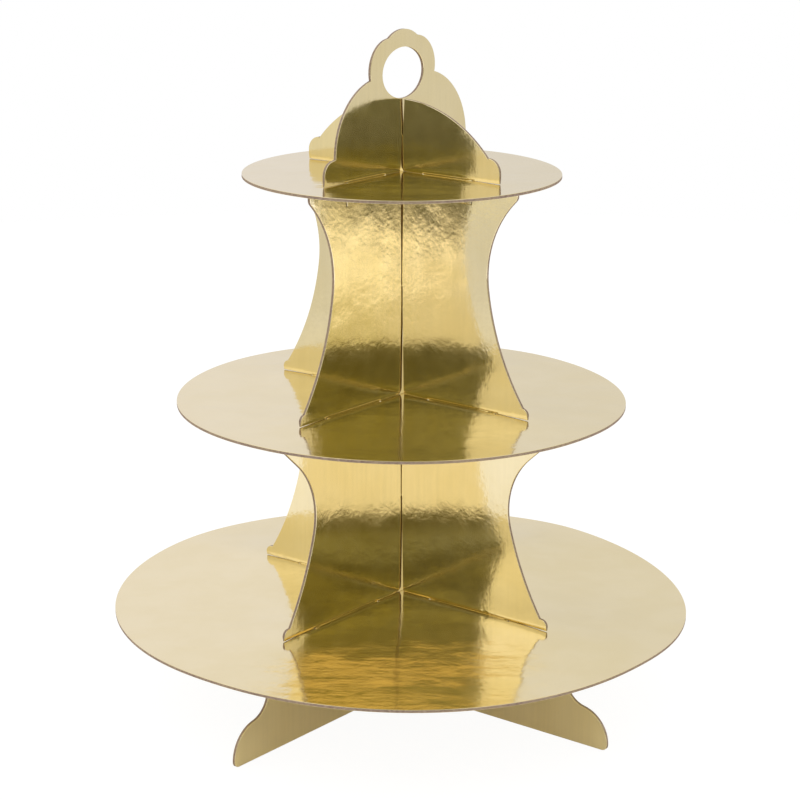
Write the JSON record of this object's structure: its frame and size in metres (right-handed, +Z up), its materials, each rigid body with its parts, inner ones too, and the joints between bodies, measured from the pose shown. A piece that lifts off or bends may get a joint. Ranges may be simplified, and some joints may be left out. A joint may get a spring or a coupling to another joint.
{
  "type": "tiered cake stand",
  "caption": "Knock-down cake stand of foil-faced board: round discs in tiers on crossed, waisted column panels, low crossed feet and a carry ring on top.",
  "frame": {"origin": "centre of the feet on the floor, on the stand's upright axis", "axes": "+Z up, +X along the a panels and the carry ring panel, +Y along the b panels and the crown's cross panel"},
  "size_m": [0.3, 0.3, 0.35],
  "materials": {
    "gold_foil_board": "polished"
  },
  "bodies": {
    "foot_panel_a": {"foot_panel_a": "gold_foil_board"},
    "foot_panel_b": {"foot_panel_b": "gold_foil_board"},
    "bottom_disc": {"bottom_disc": "gold_foil_board"},
    "lower_column_panel_a": {"lower_column_panel_a": "gold_foil_board"},
    "lower_column_panel_b": {"lower_column_panel_b": "gold_foil_board"},
    "middle_disc": {"middle_disc": "gold_foil_board"},
    "upper_column_panel_a": {"upper_column_panel_a": "gold_foil_board"},
    "upper_column_panel_b": {"upper_column_panel_b": "gold_foil_board"},
    "top_disc": {"top_disc": "gold_foil_board"},
    "crown_cross_panel": {"crown_cross_panel": "gold_foil_board"},
    "crown_ring_panel": {"crown_ring_panel": "gold_foil_board"}
  },
  "joints": [
    {"name": "foot_panel_b_lift", "type": "slide", "parent": "foot_panel_a", "child": "foot_panel_b", "axis": [0, 0, 1], "range_m": [0, 0.056]},
    {"name": "bottom_disc_lift", "type": "slide", "parent": "foot_panel_b", "child": "bottom_disc", "axis": [0, 0, 1], "range_m": [0, 0.025]},
    {"name": "lower_column_panel_a_lift", "type": "slide", "parent": "bottom_disc", "child": "lower_column_panel_a", "axis": [0, 0, 1], "range_m": [0, 0.02]},
    {"name": "lower_column_panel_b_lift", "type": "slide", "parent": "lower_column_panel_a", "child": "lower_column_panel_b", "axis": [0, 0, 1], "range_m": [0, 0.12]},
    {"name": "middle_disc_lift", "type": "slide", "parent": "lower_column_panel_b", "child": "middle_disc", "axis": [0, 0, 1], "range_m": [0, 0.025]},
    {"name": "upper_column_panel_a_lift", "type": "slide", "parent": "middle_disc", "child": "upper_column_panel_a", "axis": [0, 0, 1], "range_m": [0, 0.02]},
    {"name": "upper_column_panel_b_lift", "type": "slide", "parent": "upper_column_panel_a", "child": "upper_column_panel_b", "axis": [0, 0, 1], "range_m": [0, 0.128]},
    {"name": "top_disc_lift", "type": "slide", "parent": "upper_column_panel_b", "child": "top_disc", "axis": [0, 0, 1], "range_m": [0, 0.025]},
    {"name": "crown_cross_panel_lift", "type": "slide", "parent": "top_disc", "child": "crown_cross_panel", "axis": [0, 0, 1], "range_m": [0, 0.02]},
    {"name": "crown_ring_panel_lift", "type": "slide", "parent": "crown_cross_panel", "child": "crown_ring_panel", "axis": [0, 0, 1], "range_m": [0, 0.05]}
  ]
}
